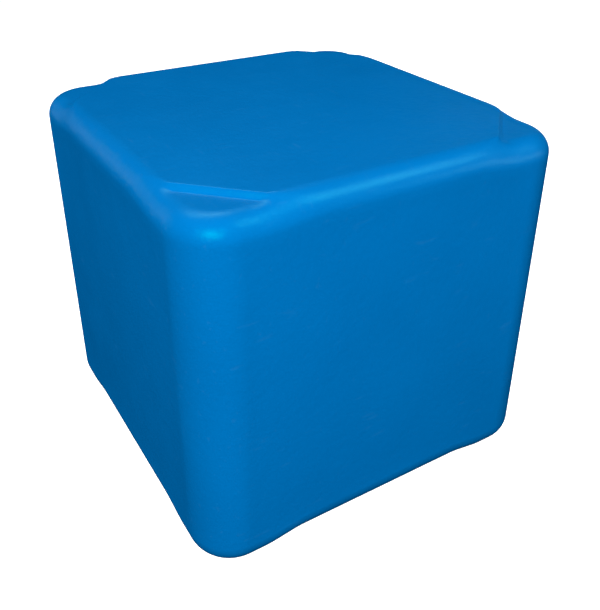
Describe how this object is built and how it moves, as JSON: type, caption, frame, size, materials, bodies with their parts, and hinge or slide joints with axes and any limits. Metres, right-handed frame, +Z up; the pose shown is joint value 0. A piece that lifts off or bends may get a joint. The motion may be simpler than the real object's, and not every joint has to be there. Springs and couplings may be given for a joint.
{
  "type": "stacking cube seat",
  "caption": "Hollow moulded cube seat that stacks: raised pad on top, recessed corners, matching corner feet with rubber pads, and a screw plug in the base.",
  "frame": {"origin": "centre of the footprint, on the plane the rubber feet stand on", "axes": "+Z up through the middle of the body; -Y is the front, +X is to the right seen from the front"},
  "size_m": [0.4484, 0.4484, 0.4175],
  "materials": {
    "moulded_blue": "satin",
    "port_plastic": "satin",
    "black_rubber": "matte",
    "insert_brass": "satin",
    "zinc_steel": "satin"
  },
  "bodies": {
    "seat": {"seat_shell": "moulded_blue", "foot_insert_front_left": "insert_brass", "foot_insert_front_right": "insert_brass", "foot_insert_rear_left": "insert_brass", "foot_insert_rear_right": "insert_brass", "foot_pad_front_left": "black_rubber", "foot_pad_front_right": "black_rubber", "foot_pad_rear_left": "black_rubber", "foot_pad_rear_right": "black_rubber", "foot_washer_front_left": "zinc_steel", "foot_washer_front_right": "zinc_steel", "foot_washer_rear_left": "zinc_steel", "foot_washer_rear_right": "zinc_steel", "foot_screw_front_left": "zinc_steel", "foot_screw_front_right": "zinc_steel", "foot_screw_rear_left": "zinc_steel", "foot_screw_rear_right": "zinc_steel", "port_bush": "port_plastic"},
    "seal": {"port_seal_ring": "black_rubber"},
    "plug": {"port_plug": "port_plastic"}
  },
  "joints": [
    {"name": "plug_travel", "type": "slide", "parent": "seat", "child": "seal", "axis": [0, 0, -1], "range_m": [0, 0.01275]},
    {"name": "plug_turn", "type": "hinge", "parent": "seal", "child": "plug", "pos_m": [0, 0, 0.0083], "axis": [0, 0, -1], "range_deg": [0, 1530]}
  ],
  "couplings": [
    {"joint": "plug_travel", "follows": "plug_turn", "m_per_rad": 0.00047746}
  ]
}
